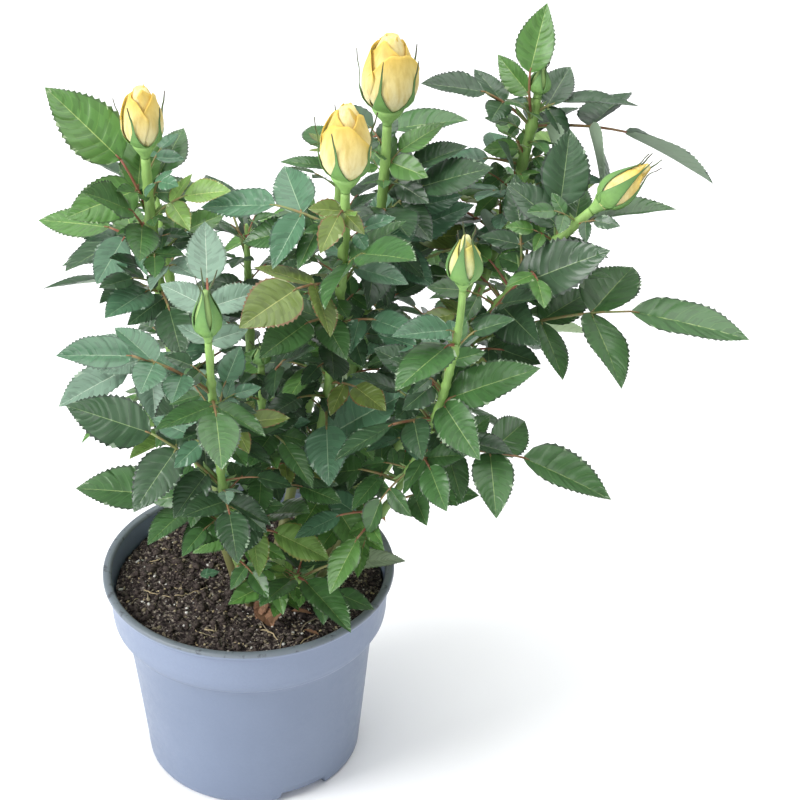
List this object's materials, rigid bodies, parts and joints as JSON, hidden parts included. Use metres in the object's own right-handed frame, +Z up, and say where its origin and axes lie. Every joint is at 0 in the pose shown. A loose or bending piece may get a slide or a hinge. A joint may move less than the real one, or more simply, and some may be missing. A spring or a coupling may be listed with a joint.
{
  "type": "miniature rose bush",
  "caption": "Miniature rose bush with leafy upright shoots and yellow buds, growing in compost in a tapered round nursery pot.",
  "frame": {"origin": "middle of the pot's flat underside", "axes": "+Z up, along the pot's axis; -Y towards the front, where the basal shoot and the leading leaves face; +X towards the long right-hand shoot"},
  "size_m": [0.3007, 0.2472, 0.3457],
  "materials": {
    "pot": "satin moulded blue-grey polypropylene",
    "compost": "moist peat compost with bark fibres and pale grit",
    "cane": "smooth green canes with small reddish thorns",
    "foliage": "semi-gloss dark green leaflets on green and reddish stalks",
    "bud": "matt yellow petals in green sepals"
  },
  "bodies": {
    "root": {"bud_far_right": "bud", "bud_front_left": "bud", "bud_front_right": "bud", "bud_left": "bud", "bud_middle": "bud", "bud_right": "bud", "bud_small": "bud", "bud_tall": "bud", "cane_back": "cane", "cane_back_left": "cane", "cane_back_right": "cane", "cane_basal": "cane", "cane_far_right": "cane", "cane_front_left": "cane", "cane_front_right": "cane", "cane_inner": "cane", "cane_left": "cane", "cane_middle": "cane", "cane_right": "cane", "cane_small": "cane", "cane_tall": "cane", "compost": "compost", "foliage_back": "foliage", "foliage_back_left": "foliage", "foliage_back_right": "foliage", "foliage_basal": "foliage", "foliage_far_right": "foliage", "foliage_front_left": "foliage", "foliage_front_right": "foliage", "foliage_inner": "foliage", "foliage_left": "foliage", "foliage_middle": "foliage", "foliage_right": "foliage", "foliage_small": "foliage", "foliage_tall": "foliage", "pot": "pot"}
  },
  "joints": []
}
